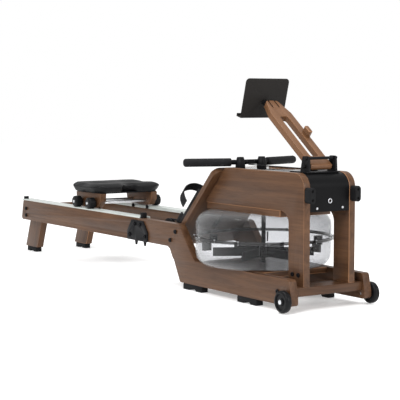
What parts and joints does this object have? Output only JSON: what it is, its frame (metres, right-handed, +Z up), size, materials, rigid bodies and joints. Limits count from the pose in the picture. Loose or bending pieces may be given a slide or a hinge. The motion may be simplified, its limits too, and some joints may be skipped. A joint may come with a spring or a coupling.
{
  "type": "rowing machine",
  "caption": "Water-resistance rowing machine: stained wood frame, clear tank, sliding roller seat, pull handle on a belt and a folding tablet arm.",
  "frame": {"origin": "centre of the footprint at floor level", "axes": "+X along the machine towards the tank end, +Y to the rower's left, +Z up; the rower sits facing +X"},
  "size_m": [2.1316, 0.512, 0.7859],
  "materials": {
    "stained_wood": "satin stained",
    "white_track": "semi-gloss",
    "black_rubber": "matte",
    "wheel_rubber": "matte",
    "black_steel": "satin powder coat",
    "black_plastic": "moulded",
    "gloss_cover": "gloss",
    "smoked_clear": "clear smoked",
    "bright_steel": "brushed",
    "webbing": "woven",
    "grip_foam": "foam",
    "seat_cover": "upholstered foam"
  },
  "bodies": {
    "frame": {"side_beam_right": "stained_wood", "side_beam_left": "stained_wood", "rear_rail_right": "stained_wood", "rear_rail_left": "stained_wood", "rail_track_right": "white_track", "rail_track_left": "white_track", "track_stops": "black_rubber", "splice_plates": "black_steel", "frame_bolts": "black_steel", "rear_crossbar": "stained_wood", "rear_leg_right": "stained_wood", "rear_leg_left": "stained_wood", "rubber_feet": "black_rubber", "front_crossbar": "stained_wood", "tank_support": "stained_wood", "side_panel_right": "stained_wood", "side_panel_left": "stained_wood", "deck_board": "stained_wood", "footboard": "stained_wood", "footplates": "black_plastic", "foot_straps": "webbing", "top_cover": "gloss_cover", "front_cover": "black_steel", "front_ring": "bright_steel", "bumpers": "black_rubber", "tank_lower": "smoked_clear", "tank_upper": "smoked_clear", "tank_gasket": "black_rubber", "tank_screws": "bright_steel", "tank_baffles": "black_plastic", "belt_pulley_pin": "bright_steel", "belt_lead": "webbing", "bungee_rods": "black_steel", "bungee_cord": "webbing", "handle_rests": "black_plastic", "tablet_bracket": "black_steel", "bracket_pins": "black_steel", "wheel_axles": "bright_steel"},
    "seat": {"seat_pad": "seat_cover", "seat_base": "black_steel", "seat_cheeks": "stained_wood", "seat_axles": "bright_steel", "seat_guides": "black_plastic"},
    "front_roller_pair": {"seat_roller_front": "wheel_rubber"},
    "rear_roller_pair": {"seat_roller_rear": "wheel_rubber"},
    "handle": {"handle_bar": "black_steel", "handle_grips": "grip_foam", "belt_run": "webbing"},
    "top_sheave": {"belt_pulley": "black_plastic"},
    "belt_drum": {"drum": "black_plastic"},
    "paddle": {"impeller": "black_plastic"},
    "cord_sheave": {"bungee_pulley": "black_plastic"},
    "right_wheel": {"wheel_right": "wheel_rubber"},
    "left_wheel": {"wheel_left": "wheel_rubber"},
    "arm": {"tablet_arm": "stained_wood", "arm_lug": "stained_wood", "tablet_clevis": "black_steel"},
    "tablet_holder": {"tablet_plate": "black_steel"},
    "right_heel": {"heel_cup_right": "black_plastic"},
    "left_heel": {"heel_cup_left": "black_plastic"}
  },
  "joints": [
    {"name": "seat_travel", "type": "slide", "parent": "frame", "child": "seat", "axis": [1, 0, 0], "range_m": [-0.49, 0.4]},
    {"name": "front_rollers_turn", "type": "hinge", "parent": "seat", "child": "front_roller_pair", "pos_m": [-0.37817, 0, 0.2705], "axis": [0, 1, 0], "continuous": true},
    {"name": "rear_rollers_turn", "type": "hinge", "parent": "seat", "child": "rear_roller_pair", "pos_m": [-0.50017, 0, 0.2705], "axis": [0, 1, 0], "continuous": true},
    {"name": "handle_pull", "type": "slide", "parent": "frame", "child": "handle", "axis": [-1, 0, 0], "range_m": [0, 0.9], "stiffness_N_per_m": 30, "springref_m": -0.3, "deforming": ["belt_run"]},
    {"name": "top_sheave_turn", "type": "hinge", "parent": "frame", "child": "top_sheave", "pos_m": [0.93083, 0, 0.4447], "axis": [0, 1, 0], "continuous": true},
    {"name": "drum_turn", "type": "hinge", "parent": "frame", "child": "belt_drum", "pos_m": [0.65383, 0, 0.4], "axis": [0, 0, 1], "continuous": true},
    {"name": "paddle_spin", "type": "hinge", "parent": "frame", "child": "paddle", "pos_m": [0.65383, 0, 0.15], "axis": [0, 0, 1], "continuous": true},
    {"name": "cord_sheave_turn", "type": "hinge", "parent": "frame", "child": "cord_sheave", "pos_m": [0.00583, 0, 0.1877], "axis": [0, 1, 0], "continuous": true},
    {"name": "right_wheel_turn", "type": "hinge", "parent": "frame", "child": "right_wheel", "pos_m": [1.02653, -0.191, 0.04], "axis": [0, 1, 0], "continuous": true},
    {"name": "left_wheel_turn", "type": "hinge", "parent": "frame", "child": "left_wheel", "pos_m": [1.02653, 0.191, 0.04], "axis": [0, 1, 0], "continuous": true},
    {"name": "arm_lift", "type": "hinge", "parent": "frame", "child": "arm", "pos_m": [0.97383, 0, 0.485], "axis": [0, 1, 0], "range_deg": [0, 38]},
    {"name": "tablet_tilt", "type": "hinge", "parent": "arm", "child": "tablet_holder", "pos_m": [0.67432, 0, 0.69965], "axis": [0, 1, 0], "range_deg": [-25, 30]},
    {"name": "right_heel_adjust", "type": "slide", "parent": "frame", "child": "right_heel", "axis": [0.7071, 0, 0.7071], "range_m": [-0.02, 0.055]},
    {"name": "left_heel_adjust", "type": "slide", "parent": "frame", "child": "left_heel", "axis": [0.7071, 0, 0.7071], "range_m": [-0.02, 0.055]}
  ],
  "couplings": [
    {"joint": "front_rollers_turn", "follows": "seat_travel", "rad_per_m": 41.667},
    {"joint": "rear_rollers_turn", "follows": "seat_travel", "rad_per_m": 41.667},
    {"joint": "top_sheave_turn", "follows": "handle_pull", "rad_per_m": -37.037},
    {"joint": "drum_turn", "follows": "handle_pull", "rad_per_m": 32.258},
    {"joint": "cord_sheave_turn", "follows": "handle_pull", "rad_per_m": -10.968}
  ]
}
